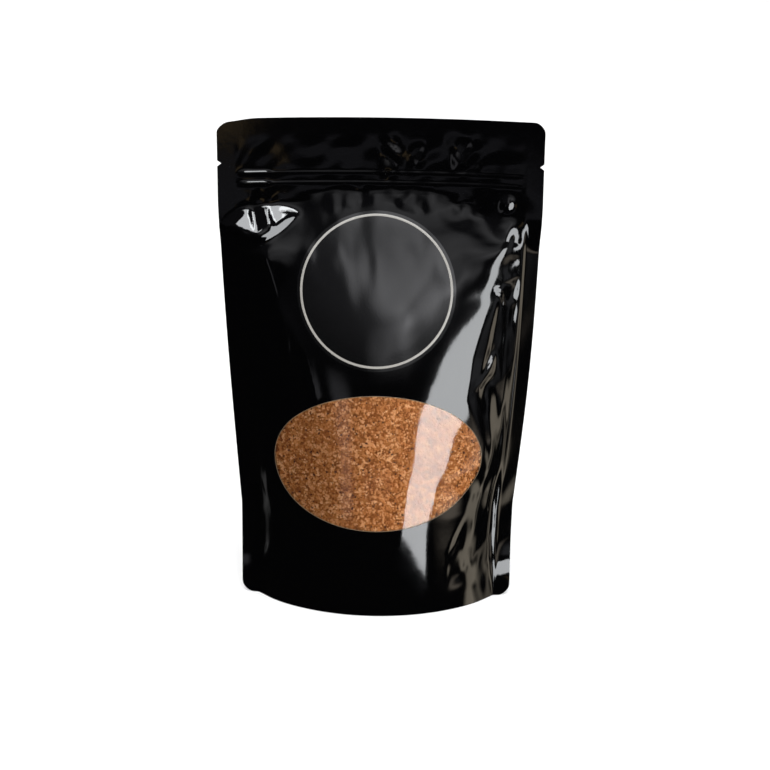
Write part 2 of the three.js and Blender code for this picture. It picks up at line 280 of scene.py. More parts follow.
def pull_together(points, axis, rest, stiffness):
    """Keeps neighbours along a grid axis at their flat distance, every second pair at a time."""
    count = points.shape[axis]
    for start in (0, 1):
        first = [slice(None)] * 3
        second = [slice(None)] * 3
        first[axis] = slice(start, count - 1, 2)
        second[axis] = slice(start + 1, count, 2)
        correct(points, tuple(first), tuple(second), rest, stiffness)


def correct(points, first, second, rest, stiffness):
    a = points[first]
    b = points[second]
    gap = b - a
    length = np.sqrt(np.einsum("...k,...k->...", gap, gap))[..., None] + 1e-9
    move = gap * (0.5 * stiffness * (length - rest) / length)
    a += move
    b -= move


def hold_diagonals(points, rest, stiffness):
    rows = points.shape[1]
    both, left, right = slice(None), slice(0, -1), slice(1, None)
    for start in (0, 1):
        low = slice(start, rows - 1, 2)
        high = slice(start + 1, rows, 2)
        correct(points, (both, low, left), (both, high, right), rest, stiffness)
        correct(points, (both, low, right), (both, high, left), rest, stiffness)


def bend(points, stiffness):
    """Resists folding, by evening out how each point stands off its neighbours."""
    inner = (slice(None), slice(1, -1), slice(1, -1))
    off = np.zeros_like(points)
    off[inner] = (
        points[:, 2:, 1:-1] + points[:, :-2, 1:-1] + points[:, 1:-1, 2:] + points[:, 1:-1, :-2]
    ) / 4 - points[inner]
    change = (off[:, 2:, 1:-1] + off[:, :-2, 1:-1] + off[:, 1:-1, 2:] + off[:, 1:-1, :-2]) / 4 - off[inner]
    points[inner] -= stiffness * change


def smooth_noise(rng, shape, cells, amount):
    """Seeded bumps, a few cells across each way, eased between their corners."""
    coarse = rng.uniform(-1, 1, (cells[0] + 1, cells[1] + 1))
    rows = np.linspace(0, cells[0], shape[0])
    columns = np.linspace(0, cells[1], shape[1])
    i = np.minimum(rows.astype(int), cells[0] - 1)
    j = np.minimum(columns.astype(int), cells[1] - 1)
    s = ease(rows - i)[:, None]
    t = ease(columns - j)[None, :]
    low = coarse[i][:, j] * (1 - t) + coarse[i][:, j + 1] * t
    high = coarse[i + 1][:, j] * (1 - t) + coarse[i + 1][:, j + 1] * t
    return amount * (low * (1 - s) + high * s)


def film_grid(level):
    """The flat film's grid after a number of halvings, and its pitch across and up."""
    columns, rows = (cells * 2**level for cells in COARSE_CELLS)
    u = np.linspace(-HALF, HALF, columns + 1)
    v = np.linspace(0.0, FILM_HEIGHT, rows + 1)
    return np.meshgrid(u, v), (FLAT_WIDTH / columns, FILM_HEIGHT / rows)


def relax_film(points, level, steps, softness):
    (u, v), (pitch_u, pitch_v) = film_grid(level)
    goal = np.stack([goal_form(u, v, side) for side in (FRONT, BACK)])
    outward = np.array(OUTWARD)[:, None, None]
    sealed = np.abs(u) > PANEL_HALF - 0.01
    header = v > np.interp(SHOULDER + HEADER_ABOVE, RISE, ALONG)
    tied = sealed | header
    filled = ease((FILL_TOP - goal[0, ..., 2]) / FILL_FADE)

    pull = np.where(sealed[..., None], PULL_SEALED, PULL_FREE)
    pull[header] = PULL_HEADER
    pull[0] = PULL_BASE

    for _ in range(steps):
        points += pull * (goal - points)
        bend(points, softness)
        for _ in range(2):
            pull_together(points, 2, pitch_u, STRETCH)
            pull_together(points, 1, pitch_v, STRETCH)
            hold_diagonals(points, math.hypot(pitch_u, pitch_v), SHEAR)
        # the contents hold the panels out
        x, y, z = (points[..., k] for k in range(3))
        inner = half_width(z) - SIDE_SEAL
        belly = inner - BELLY_GAP - BELLY_TAPER * ease((z - BELLY_TAPER_RUN[0]) / BELLY_TAPER_RUN[1])
        content = arc_rise(x, belly, FILL_SHARE * bulge(z)) * filled
        stand = outward * (y - header_bow(x, z))
        pushed = (stand < content) & (content > 0.5)
        points[..., 1] = np.where(pushed, outward * content + header_bow(x, z), y)
        # the plies never cross, and stay together where they are sealed
        short = np.maximum(points[FRONT, ..., 1] - points[BACK, ..., 1], 0.0) / 2
        points[BACK, ..., 1] += short
        points[FRONT, ..., 1] -= short
        middle = points.mean(axis=0)
        points[:, tied] = middle[tied]
        points[..., 2] = np.maximum(points[..., 2], 0.0)
    return points


def lean_seals(points):
    """Turns the side seals back, the right one more than the left."""
    (u, v), _ = film_grid(len(STAGES) - 1)
    lean = np.where(u > 0, SEAL_LEAN[1], SEAL_LEAN[0])
    along = ease((v - 4) / 30) * ease((SHOULDER - 6 - v) / 18)
    points[..., 1] += np.maximum(np.abs(u) - (PANEL_HALF - 1), 0) * np.tan(np.radians(lean)) * along
    return points


def calm_flanks(points):
    """Evens out the cross ripples beside the side seals, but for a part of the right flank."""
    (u, v), (_, pitch) = film_grid(len(STAGES) - 1)
    half = int(round(3 * max(CALM_REACH) / pitch))
    steps = np.arange(-half, half + 1) * pitch
    weights = np.stack([np.exp(-0.5 * (steps / reach) ** 2) for reach in CALM_REACH])
    weights /= weights.sum(axis=1, keepdims=True)
    rippled = ease((v - RIPPLED[0]) / 14) * ease((RIPPLED[1] - v) / 10) * (u > 0)
    share = ease((np.abs(u) - 28) / 16) * (1 - 0.4 * rippled * ease((PANEL_HALF - u) / 4))
    rows = points.shape[1]
    for side in (FRONT, BACK):
        off = points[side] - goal_form(u, v, side)
        padded = np.concatenate([off[:1]] * half + [off] + [off[-1:]] * half)
        left, right = (sum(weight * padded[k:k + rows] for k, weight in enumerate(row)) for row in weights)
        calm = np.where(u[..., None] < 0, left, right)
        points[side] += share[..., None] * (calm - off)
    return points


def press_folds(points):
    """Adds the broad folds of the front panel, under the label and the window too."""
    (u, v), _ = film_grid(len(STAGES) - 1)
    normal = sample_normal(points, FRONT, u, v, 2.0)
    raised = sum(broad_fold(u, v, *fold) for fold in BROAD_FOLDS) + pucker(u, v, *BOXY)
    points[FRONT] += normal * raised[..., None]
    # the boxy corner of the left shoulder, a flat facet that leans back
    centre = sample(points, FRONT, np.array(FACET["at"][0]), np.array(FACET["at"][1]))
    across = (u - FACET["at"][0]) / FACET["size"][0]
    up = (v - FACET["at"][1]) / FACET["size"][1]
    inside = ease((1.5 - np.abs(up + FACET["skew"] * across) - np.abs(across) ** 1.5) / 0.9)
    away = points[FRONT] - centre
    flat = centre[1] - FACET["stand"] + away[..., 0] * FACET["slope"][0] + away[..., 2] * FACET["slope"][1]
    flat = np.minimum(flat, header_bow(points[FRONT, ..., 0], points[FRONT, ..., 2]) - 0.3)
    points[FRONT, ..., 1] += inside * (flat - points[FRONT, ..., 1])
    return points


def refine(points):
    """The same sheet on a grid of half the pitch."""
    sides, rows, columns, _ = points.shape
    fine = np.zeros((sides, 2 * rows - 1, 2 * columns - 1, 3))
    fine[:, ::2, ::2] = points
    fine[:, 1::2, ::2] = (points[:, 1:] + points[:, :-1]) / 2
    fine[:, :, 1::2] = (fine[:, :, 2::2] + fine[:, :, :-2:2]) / 2
    return fine


def solve_film():
    rng = np.random.default_rng(SEED)
    (u, v), _ = film_grid(0)
    points = np.stack([goal_form(u, v, side) for side in (FRONT, BACK)])
    for level, (steps, softness, cells, amount) in enumerate(STAGES):
        if level:
            points = refine(points)
        for side in (FRONT, BACK):
            points[side, ..., 1] += smooth_noise(rng, points.shape[1:3], cells, amount)
        points = relax_film(points, level, steps, softness)
    return lean_seals(press_folds(calm_flanks(points)))


# ======== Sampling the solved film ========

def spline_weights(t):
    """Weights of four neighbours for a smooth curve through the middle two."""
    return (
        ((-0.5 * t + 1.0) * t - 0.5) * t,
        (1.5 * t - 2.5) * t * t + 1.0,
        ((-1.5 * t + 2.0) * t + 0.5) * t,
        (0.5 * t - 0.5) * t * t,
    )


def sample(film, side, u, v):
    grid = film[side]
    rows, columns = grid.shape[:2]
    i = np.clip(v, 0, FILM_HEIGHT) / FILM_HEIGHT * (rows - 1)
    j = (np.clip(u, -HALF, HALF) + HALF) / FLAT_WIDTH * (columns - 1)
    i0 = np.clip(np.floor(i).astype(int), 0, rows - 2)
    j0 = np.clip(np.floor(j).astype(int), 0, columns - 2)
    down = spline_weights(i - i0)
    across = spline_weights(j - j0)
    total = np.zeros(np.shape(u) + (3,))
    for a in range(4):
        row = np.clip(i0 + a - 1, 0, rows - 1)
        for b in range(4):
            column = np.clip(j0 + b - 1, 0, columns - 1)
            total += (down[a] * across[b])[..., None] * grid[row, column]
    return total


def sample_normal(film, side, u, v, reach=0.6):
    along_u = sample(film, side, u + reach, v) - sample(film, side, u - reach, v)
    along_v = sample(film, side, u, v + reach) - sample(film, side, u, v - reach)
    normal = np.cross(along_u, along_v) * -OUTWARD[side]
    return normal / np.linalg.norm(normal, axis=-1, keepdims=True)


# ======== Meshes ========

def link_object(name, data):
    made = bpy.data.objects.new(name, data)
    bpy.context.scene.collection.objects.link(made)
    return made


def make_piece(name, vertices, faces, material, smooth=True):
    mesh = bpy.data.meshes.new(name)
    places = (np.asarray(vertices) * MM).tolist()
    mesh.from_pydata(places, [], [tuple(int(i) for i in face) for face in faces])
    mesh.validate()
    mesh.update()
    if smooth:
        mesh.polygons.foreach_set("use_smooth", [True] * len(mesh.polygons))
        mesh.set_sharp_from_angle(angle=math.radians(50))
    piece = link_object(name, mesh)
    mesh.materials.append(material)
    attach(piece, ROOT)
    return piece


def grid_lines(low, high):
    return np.linspace(low, high, int(round((high - low) / MESH_PITCH)) + 1)


def denser(lines, place, offsets, clear):
    """Puts closer lines at a place instead of the even ones near it."""
    return np.append(lines[np.abs(lines - place) > clear], [place + d for d in offsets])


def film_lines():
    """Lines of the render mesh: even, and close together where the film is creased on purpose."""
    v = grid_lines(0.0, FILM_HEIGHT)
    for height in ZIP_HEIGHTS:
        v = denser(v, height, RIB_LINES, 2.2)
    v = denser(v, NOTCH_HEIGHT, NOTCH_LINES, 2.0)
    u = grid_lines(-HALF, HALF)
    for edge in (-PANEL_HALF, PANEL_HALF):
        u = denser(u, edge, SEAL_LINES, 1.6)
    return np.sort(u), np.sort(v)


def round_corners(u, v):
    """Moves the lines of a rectangle's corner squares onto quarter discs, and cuts the tear notches."""
    out_u = u.copy()
    out_v = v.copy()
    corners = ((TOP_CORNER, FILM_HEIGHT - TOP_CORNER, 1.0), (BASE_CORNER, BASE_CORNER, -1.0))
    for radius, base, upward in corners:
        a = (np.abs(u) - (HALF - radius)) / radius
        b = upward * (v - base) / radius
        corner = (a > 0) & (b > 0)
        round_a = a * np.sqrt(np.maximum(1 - b * b / 2, 0))
        round_b = b * np.sqrt(np.maximum(1 - a * a / 2, 0))
        out_u = np.where(corner, np.sign(u) * (HALF - radius + radius * round_a), out_u)
        out_v = np.where(corner, base + upward * radius * round_b, out_v)
    droop = ease((TOP_DROOP_REACH[0] - HALF - u) / TOP_DROOP_REACH[0])
    out_v = out_v - TOP_DROOP * droop * clamp01((v - FILM_HEIGHT) / TOP_DROOP_REACH[1] + 1)
    notch = np.maximum(1 - np.abs(v - NOTCH_HEIGHT) / NOTCH_HALF, 0)
    near_edge = clamp01((np.abs(u) - (HALF - NOTCH_REACH)) / NOTCH_REACH)
    return out_u - np.sign(u) * NOTCH_DEPTH * notch * near_edge, out_v


def ribs_and_lips(u, v):
    """The zip's ribs and the lip of the side seals."""
    ends = ease((PANEL_HALF - 1 - np.abs(u)) / 5.0)
    proud = ease((-52 - u) / 5)
    width = 0.62 + 0.4 * proud
    rib = sum(np.exp(-(((v - height) / width) ** 2)) for height in ZIP_HEIGHTS)
    lip = np.exp(-(((np.abs(u) - PANEL_HALF) / 0.55) ** 2)) * ease((ZIP_HEIGHTS[1] - 4 - v) / 8)
    return (0.16 + 0.42 * proud) * rib * ends + 0.08 * lip


def crest(u, v, line, height, reach):
    """A long fold: sharp along its line, fading to both sides and towards its ends."""
    heights, places = np.array(line).T
    off = u - np.interp(v, heights, places)
    run = ease((v - heights[0]) / CREST_FADE) * ease((heights[-1] - v) / CREST_FADE)
    return height * run * np.exp(-np.sqrt(off**2 + CREST_SOFTNESS**2) / reach)


def broad_fold(u, v, line, height, reach, softness):
    """A long fold that fades inwards and falls evenly out to the side seal."""
    heights, places = np.array(line).T
    at = np.interp(v, heights, places)
    run = ease((v - heights[0]) / CREST_FADE) * ease((heights[-1] - v) / CREST_FADE)
    away = np.sqrt((u - at) ** 2 + softness**2) - softness
    outwards = np.maximum(1 - away / (PANEL_HALF + 0.5 - at), 0)
    return height * run * np.where(u < at, np.exp(-away / reach), outwards)


def pucker(u, v, at, size, height, turn):
    """A short dent or bump, longer than wide."""
    c, s = math.cos(math.radians(turn)), math.sin(math.radians(turn))
    across = (c * (u - at[0]) + s * (v - at[1])) / size[0]
    along = (c * (v - at[1]) - s * (u - at[0])) / size[1]
    return height * np.exp(-(across**2 + along**2))


def facets(u, v, rng, cell, amount):
    """Crushed film: flat triangles between random heights on a skewed grid."""
    heights = rng.uniform(-1, 1, (64, 64))
    p = u / cell[0] + 0.45 * np.sin(v / 19 + 1.3) + 0.3 * np.sin(v / 7.3) + 32
    q = v / cell[1] + 0.5 * (p - 32) + 16
    i = np.clip(np.floor(p).astype(int), 0, 62)
    j = np.clip(np.floor(q).astype(int), 0, 62)
    a = p - i
    b = q - j
    corner = heights[i, j]
    right = heights[i + 1, j]
    up = heights[i, j + 1]
    both = heights[i + 1, j + 1]
    lower = corner + a * (right - corner) + b * (both - right)
    upper = corner + b * (up - corner) + a * (both - up)
    return amount * np.where(a > b, lower, upper)


def flatten(u, v, folds, corners, slope):
    """Puts a flat facet in place of the folds."""
    corners = np.array(corners)
    middle = corners.mean(axis=0)
    inside = 1.0
    for (a, b), (c, d) in zip(corners, np.roll(corners, -1, axis=0)):
        within = ((c - a) * (v - b) - (d - b) * (u - a)) / math.hypot(c - a, d - b)
        inside = inside * ease(within / FACET_EDGE + 0.5)
    flat = slope[0] * (u - middle[0]) + slope[1] * (v - middle[1])
    return folds + inside * (flat - folds)


def waves(u, v, rng, kinds):
    """Uneven ground: for each length and height, a few sine waves that run all ways."""
    total = np.zeros(np.shape(u))
    for length, height in kinds:
        for _ in range(WAVES_EACH):
            angle = rng.uniform(0, 2 * np.pi)
            phase = rng.uniform(0, 2 * np.pi)
            wave = 2 * np.pi / (length * rng.uniform(0.8, 1.25))
            run = u * np.cos(angle) + v * np.sin(angle)
            total += height / math.sqrt(WAVES_EACH) * np.sin(wave * run + phase)
    return total


def film_relief(side, u, v):
    """What the flat-size solution leaves out: pressed-in parts, long folds and crushed flanks."""
    total = ribs_and_lips(u, v)
    rng = np.random.default_rng(SEED + 20 + side)
    header = ease((v - 209) / 5) * ease((242 - v) / 9) * ease((PANEL_HALF - np.abs(u)) / 4)
    total = total + header * waves(u, v, rng, HEADER_WAVES)
    out = np.abs(u)
    flank = np.where(u > 0, np.interp(v, *FLANK_RIGHT), np.interp(v, *FLANK_LEFT))
    crushed = ease((out - flank) / 4) * ease((PANEL_HALF + 0.5 - out) / 5)
    crushed = crushed * ease((200 - v) / 12) * ease((v - 8) / 15) * np.where(u > 0, 1.0, LEFT_FLANK_SHARE)
    sunk = np.where(u > 0, FLANK_SUNK, 0.0)
    folds = crushed * (sum(facets(u, v, rng, *kind) for kind in FLANK_CELLS) - sunk)
    if side == FRONT:
        for line, height, reach in CRESTS:
            folds = folds + crest(u, v, line, height, reach)
        for at, size, height, turn in PUCKERS:
            folds = folds + pucker(u, v, at, size, height, turn)
        for at, size, amount in CRUSHED:
            spot = np.exp(-(((u - at[0]) / size[0]) ** 4 + ((v - at[1]) / size[1]) ** 4))
            folds = folds + spot * facets(u, v, rng, CRUSHED_CELL, amount)
        for corners, slope in FLAT_FACETS:
            folds = flatten(u, v, folds, corners, slope)
        oval = np.hypot((u - WINDOW["u"]) / WINDOW["half_width"], (v - WINDOW["v"]) / WINDOW["half_height"])
        round_label = np.hypot(u - LABEL["u"], v - LABEL["v"]) - LABEL["radius"]
        folds = folds * ease((oval - 1.02) / 0.12) * ease((round_label - 1) / 4)
    return total + folds


def snap_to_oval(u, v):
    """Moves grid points that lie next to the window's edge onto it, and marks each point: -1 inside,
    0 on the edge, 1 outside."""
    du = (u - WINDOW["u"]) / WINDOW["half_width"]
    dv = (v - WINDOW["v"]) / WINDOW["half_height"]
    level = np.hypot(du, dv) - 1
    mark = np.sign(level)
    best = np.full(u.shape, np.inf)
    snap_u = u.copy()
    snap_v = v.copy()
    for axis in (0, 1):
        first = [slice(None), slice(None)]
        second = [slice(None), slice(None)]
        first[axis] = slice(0, -1)
        second[axis] = slice(1, None)
        first = tuple(first)
        second = tuple(second)
        crosses = level[first] * level[second] < 0
        share = np.where(crosses, level[first] / (level[first] - level[second] + 1e-12), 0)
        at_u = u[first] + share * (u[second] - u[first])
        at_v = v[first] + share * (v[second] - v[first])
        for part, distance in ((first, share), (second, 1 - share)):
            take = crosses & (distance <= 0.5) & (distance < best[part])
            for target, value in ((snap_u, at_u), (snap_v, at_v), (best, distance), (mark, 0.0)):
                view = target[part]
                view[take] = value[take] if np.ndim(value) else value
    return snap_u, snap_v, mark


def split_front(mark):
    """Faces of the front panel outside and inside the window's edge."""
    outside = []
    inside = []
    rows, columns = mark.shape
    for i in range(rows - 1):
        for j in range(columns - 1):
            corners = ((i, j), (i, j + 1), (i + 1, j + 1), (i + 1, j))
            marks = [mark[c] for c in corners]
            index = [r * columns + c for r, c in corners]
            low, high = min(marks), max(marks)
            if low >= 0 and high > 0:
                outside.append(index)
            elif high <= 0 and low < 0:
                inside.append(index)
            elif low == high == 0:
                outside.append(index)
            else:
                turn = 0 if marks[0] == 0 and marks[2] == 0 else 1
                for k in (0, 2):
                    triangle = [index[(turn + k + s) % 4] for s in (0, 1, 2)]
                    middle = marks[(turn + k + 1) % 4]
                    (outside if middle > 0 else inside).append(triangle)
    return outside, inside


def base_heights(distance):
    """The base from the standing edge inwards: up the standing seal, then down to the open fold."""
    seal = STANDING_SEAL
    wall = ease((distance - seal["from"]) / seal["over"])
    beyond = np.maximum(distance - seal["wide"], 0) / seal["fall"]
    return wall * (seal["lift"] + seal["height"] * np.exp(-(beyond ** seal["curve"])))


def make_part(name, vertices, faces, material):
    """A piece of only the vertices that its faces use."""
    used = np.unique(np.concatenate([np.array(face) for face in faces]))
    renumber = np.full(len(vertices), -1)
    renumber[used] = np.arange(len(used))
    return make_piece(name, vertices[used], [tuple(renumber[list(face)]) for face in faces], material)


def build_film(film, film_material, window_material):
    u_lines, v_lines = film_lines()
    flat_u, flat_v = np.meshgrid(u_lines, v_lines)
    rows, columns = flat_u.shape
    cut_u, cut_v = round_corners(flat_u, flat_v)
    sheets = []
    for side in (FRONT, BACK):
        u, v, mark = (cut_u, cut_v, None) if side == BACK else snap_to_oval(cut_u, cut_v)
        if side == FRONT:
            outside, inside = split_front(mark)
        thick = FILM + film_relief(side, u, v)
        place = sample(film, side, u, v) + sample_normal(film, side, u, v) * thick[..., None]
        sheets.append(place.reshape(-1, 3))
    count = rows * columns
    faces = [tuple(face) for face in outside]
    for i in range(rows - 1):
        for j in range(columns - 1):
            a = count + i * columns + j
            faces.append((a, a + columns, a + columns + 1, a + 1))
    # the cut edges at both sides and along the top
    for i in range(rows - 1):
        for j, turn in ((0, 1), (columns - 1, -1)):
            a = i * columns + j
            b = a + columns
            faces.append((a, b, b + count, a + count)[::turn])
    for j in range(columns - 1):
        a = (rows - 1) * columns + j
        faces.append((a, a + 1, a + 1 + count, a + count))
    # the base: sealed edges at both ends, and the opened fold between them
    vertices = np.concatenate(sheets)
    seal = int(np.searchsorted(u_lines, -PANEL_HALF + 0.7))
    last = columns - 1 - seal
    extra = []
    for j in range(columns - 1):
        if j < seal or j >= last:
            faces.append((j, j + count, j + 1 + count, j + 1))
    share = (np.arange(1, BASE_STEPS + 1) / BASE_STEPS) ** BASE_SPACING / 2
    share = np.concatenate([share, 1 - share[-2::-1]])
    inner_columns = range(seal + 1, last)
    start = len(vertices)
    for j in inner_columns:
        near, far = vertices[j], vertices[j + count]
        width = far[1] - near[1]
        line = near[None] * (1 - share[:, None]) + far[None] * share[:, None]
        reach = np.minimum(share, 1 - share) * width
        line[:, 2] = np.maximum(near[2], 0.0) + base_heights(reach)
        extra.append(line)
    vertices = np.concatenate([vertices] + extra)
    per = len(share)

    def rung(j):
        if j in (seal, last):
            return None
        offset = start + (j - seal - 1) * per
        return [j] + list(range(offset, offset + per)) + [j + count]

    for j in range(seal, last):
        left = rung(j)
        right = rung(j + 1)
        if left is None or right is None:
            ends = (j, j + count) if left is None else (j + 1, j + 1 + count)
            chain = right if left is None else left
            half = len(chain) // 2
            for k in range(len(chain) - 1):
                tip = ends[0] if k < half else ends[1]
                face = [tip, chain[k + 1], chain[k]] if left is None else [tip, chain[k], chain[k + 1]]
                if len(set(face)) == 3:
                    faces.append(tuple(face))
            if left is None:
                faces.append((ends[0], ends[1], chain[half]))
            else:
                faces.append((ends[1], ends[0], chain[half]))
        else:
            for k in range(per + 1):
                faces.append((left[k], left[k + 1], right[k + 1], right[k]))
    shell = make_part("pouch_film", vertices, faces, film_material)
    window = make_part("window_film", vertices, inside, window_material)
    return shell


def ring_faces(start, step, sectors):
    """Faces between a ring of points and the one a step further on."""
    ends = ((start + s, start + (s + 1) % sectors) for s in range(sectors))
    return [(p, p + step, q + step, q) for p, q in ends]


def disc_grid(rings, sectors):
    """Unit disc as rings of points round a centre, and its faces."""
    radius = np.arange(1, rings + 1) / rings
    angle = np.arange(sectors) * 2 * np.pi / sectors
    a = np.concatenate([[0.0], np.outer(radius, np.cos(angle)).ravel()])
    b = np.concatenate([[0.0], np.outer(radius, np.sin(angle)).ravel()])
    faces = [(0, 1 + s, 1 + (s + 1) % sectors) for s in range(sectors)]
    for r in range(rings - 1):
        faces += ring_faces(1 + r * sectors, sectors, sectors)
    return a, b, faces


def close_disc(front, back, faces, rings, sectors):
    """Vertices and faces of a closed body: a disc, the same one behind it, and the rim between them."""
    count = len(front)
    behind = [tuple(i + count for i in reversed(face)) for face in faces]
    rim = ring_faces(1 + (rings - 1) * sectors, count, sectors)
    return np.concatenate([front, back]), faces + behind + rim


def label_wave(u, v):
    """How far the sticker lifts off the film, none at its edge."""
    inside = np.maximum(1 - (np.hypot(u - LABEL["u"], v - LABEL["v"]) / LABEL["radius"]) ** 2, 0)
    return ease(inside * 2.5) * sum(pucker(u, v, *wave) for wave in LABEL_WAVES)


def build_label(film, material):
    """The sticker: a thin disc on the film, closed at its edge and behind."""
    rings, sectors = 30, 160
    a, b, faces = disc_grid(rings, sectors)
    u = LABEL["u"] + LABEL["radius"] * a
    v = LABEL["v"] + LABEL["radius"] * b
    normal = sample_normal(film, FRONT, u, v, 2.0)
    base = sample(film, FRONT, u, v) + normal * label_wave(u, v)[..., None]
    inner, outer = (base + normal * (FILM + lift) for lift in STICKER)
    piece = make_piece("label_disc", *close_disc(outer, inner, faces, rings, sectors), material)
    return piece


def build_band(name, film, material, centre, radii, width, stand):
    """A thin raised band of colour along an oval, raised with the sticker where it is on it."""
    sectors = 240
    across = 4
    vertices = []
    for k in range(across + 1):
        angle = np.arange(sectors) * 2 * np.pi / sectors
        off = width * (k / across - 0.5)
        u = centre[0] + (radii[0] + off) * np.cos(angle)
        v = centre[1] + (radii[1] + off) * np.sin(angle)
        edge = 0.0 if k in (0, across) else BAND_HEIGHT
        lift = FILM + stand + edge + label_wave(u, v)[..., None]
        vertices.append(sample(film, FRONT, u, v) + sample_normal(film, FRONT, u, v, 2.0) * lift)
    faces = [face for k in range(across) for face in ring_faces(k * sectors, sectors, sectors)]
    piece = make_piece(name, np.concatenate(vertices), faces, material)
    return piece


# ======== Contents ========

def seed_surface(film, u, v, depth):
    return sample(film, FRONT, u, v) - sample_normal(film, FRONT, u, v, 2.5) * np.asarray(depth)[..., None]


def build_core(film, material):
    """The body of the mix behind the window, a closed lens with an uneven face."""
    rng = np.random.default_rng(SEED + 1)
    rings, sectors = 90, 260
    a, b, faces = disc_grid(rings, sectors)
    radius = np.hypot(a, b)
    u = WINDOW["u"] + (WINDOW["half_width"] + 3.0) * a
    v = WINDOW["v"] + (WINDOW["half_height"] + 3.0) * b
    relief = waves(u, v, rng, CRUMB_RELIEF)
    front = seed_surface(film, u, v, CORE_DEPTH - CORE_RELIEF * np.clip(relief, -1, 1))
    back = seed_surface(film, u, v, CORE_BACK[0] - CORE_BACK[1] * radius**6)
    piece = make_piece("mix_core", *close_disc(front, back, faces, rings, sectors), material)
    return piece


def crumb_shape(rng, stretch):
    """One crumb: a rough eight-sided lump in unit size."""
    base = []
    for level, width in ((-0.55, 0.62), (0.05, 1.0), (0.6, 0.6)):
        turn = rng.uniform(0, np.pi)
        for k in range(5):
            angle = turn + 2 * np.pi * k / 5
            r = width * rng.uniform(0.75, 1.15)
            base.append((r * np.cos(angle) * stretch[0], r * np.sin(angle) * stretch[1], level * stretch[2]))
    base.append((0, 0, -0.95 * stretch[2]))
    base.append((0, 0, 0.95 * stretch[2]))
    faces = []
    for ring in range(2):
        for k in range(5):
            p = ring * 5 + k
            q = ring * 5 + (k + 1) % 5
            faces.append((p, q, q + 5))
            faces.append((p, q + 5, p + 5))
    for k in range(5):
        faces.append((15, (k + 1) % 5, k))
        faces.append((16, 10 + k, 10 + (k + 1) % 5))
    return np.array(base), np.array(faces)


def grain_shape(rng, stretch):
    """One whole seed: a smooth egg of four rings."""
    base = [(0.0, 0.0, -1.0)]
    sides = 7
    for level in (-0.62, -0.05, 0.55):
        r = math.sqrt(1 - level * level) * (1 - 0.12 * level)
        for k in range(sides):
            angle = 2 * np.pi * k / sides
            base.append((r * np.cos(angle), r * np.sin(angle), level))
    base.append((0.0, 0.0, 1.0))
    faces = []
    for k in range(sides):
        n = (k + 1) % sides
        faces.append((0, 1 + n, 1 + k))
        for ring in range(2):
            p, q = 1 + ring * sides + k, 1 + ring * sides + n
            faces.append((p, q, q + sides))
            faces.append((p, q + sides, p + sides))
        faces.append((1 + 2 * sides + k, 1 + 2 * sides + n, 1 + 3 * sides))
    return np.array(base) * np.array(stretch), np.array(faces)


def random_turns(rng, count, flat):
    """Rotation matrices: any turn about the surface's normal, with a tilt that flat keeps small."""
    yaw = rng.uniform(0, 2 * np.pi, count)
    tilt = rng.normal(0, flat, count)
    axis = rng.uniform(0, 2 * np.pi, count)
    matrices = []
    for a, t, x in zip(yaw, tilt, axis):
        direction = np.array([np.cos(x), np.sin(x), 0.0])
        k = np.array([[0, -direction[2], direction[1]], [direction[2], 0, -direction[0]],
                      [-direction[1], direction[0], 0]])
        tilted = np.eye(3) + np.sin(t) * k + (1 - np.cos(t)) * (k @ k)
        turned = np.array([[np.cos(a), -np.sin(a), 0], [np.sin(a), np.cos(a), 0], [0, 0, 1.0]])
        matrices.append(tilted @ turned)
    return np.array(matrices)


def scatter(name, film, material, count, size, shape, stretch, flat, depth, seed):
    """Loose grains pressed against the inside of the window film, as one joined mesh."""
    rng = np.random.default_rng(seed)
    angle = rng.uniform(0, 2 * np.pi, count)
    radius = np.sqrt(rng.uniform(0, 1, count))
    u = WINDOW["u"] + (WINDOW["half_width"] + 1.0) * radius * np.cos(angle)
    v = WINDOW["v"] + (WINDOW["half_height"] + 1.0) * radius * np.sin(angle)
    scale = rng.lognormal(0, 0.28, count).clip(0.5, 1.8) * size / 2
    normal = sample_normal(film, FRONT, u, v, 2.5)
    side = np.cross(normal, (0.0, 0.0, 1.0))
    side /= np.linalg.norm(side, axis=-1, keepdims=True)
    up = np.cross(side, normal)
    basis = np.stack([side, up, normal], axis=-1)
    turns = random_turns(rng, count, flat)
    depths = rng.uniform(depth[0], depth[1], count)
    centre = sample(film, FRONT, u, v)
    kinds = [shape(rng, stretch) for _ in range(8)]
    vertices = []
    faces = []
    offset = 0
    for n in range(count):
        base, triangles = kinds[n % len(kinds)]
        local = (base * scale[n]) @ turns[n].T
        top = local[:, 2].max()
        placed = local @ basis[n].T + centre[n] - normal[n] * (depths[n] + top)
        vertices.append(placed)
        faces.append(triangles + offset)
        offset += len(base)
    whole = shape is grain_shape
    piece = make_piece(name, np.concatenate(vertices), np.concatenate(faces), material, smooth=whole)
    return piece


# ======== Materials ========

FILM_IOR = 1.36
WINDOW_IOR = 1.48  # both faces of the clear film mirror


def new_material(name, **values):
    """A node material, with constant values set on the shader's own sockets."""
    material = bpy.data.materials.new(name)
    material.use_nodes = True
    nodes = material.node_tree.nodes
    shader = nodes["Principled BSDF"]
    for key, value in values.items():
        shader.inputs[key].default_value = value
    return material, nodes, material.node_tree.links, shader


def add_ramp(nodes, *stops):
    """A colour ramp through (position, colour) stops in order."""
    ramp = add(nodes, "ShaderNodeValToRGB")
    elements = ramp.color_ramp.elements
    for n, (position, colour) in enumerate(stops):
        if n < 2:
            elements[n].position = position
            elements[n].color = colour
        else:
            elements.new(position).color = colour
    return ramp


def add(nodes, kind, **values):
    node = nodes.new(kind)
    for key, value in values.items():
        if key in node.inputs:
            node.inputs[key].default_value = value
        else:
            setattr(node, key, value)
    return node


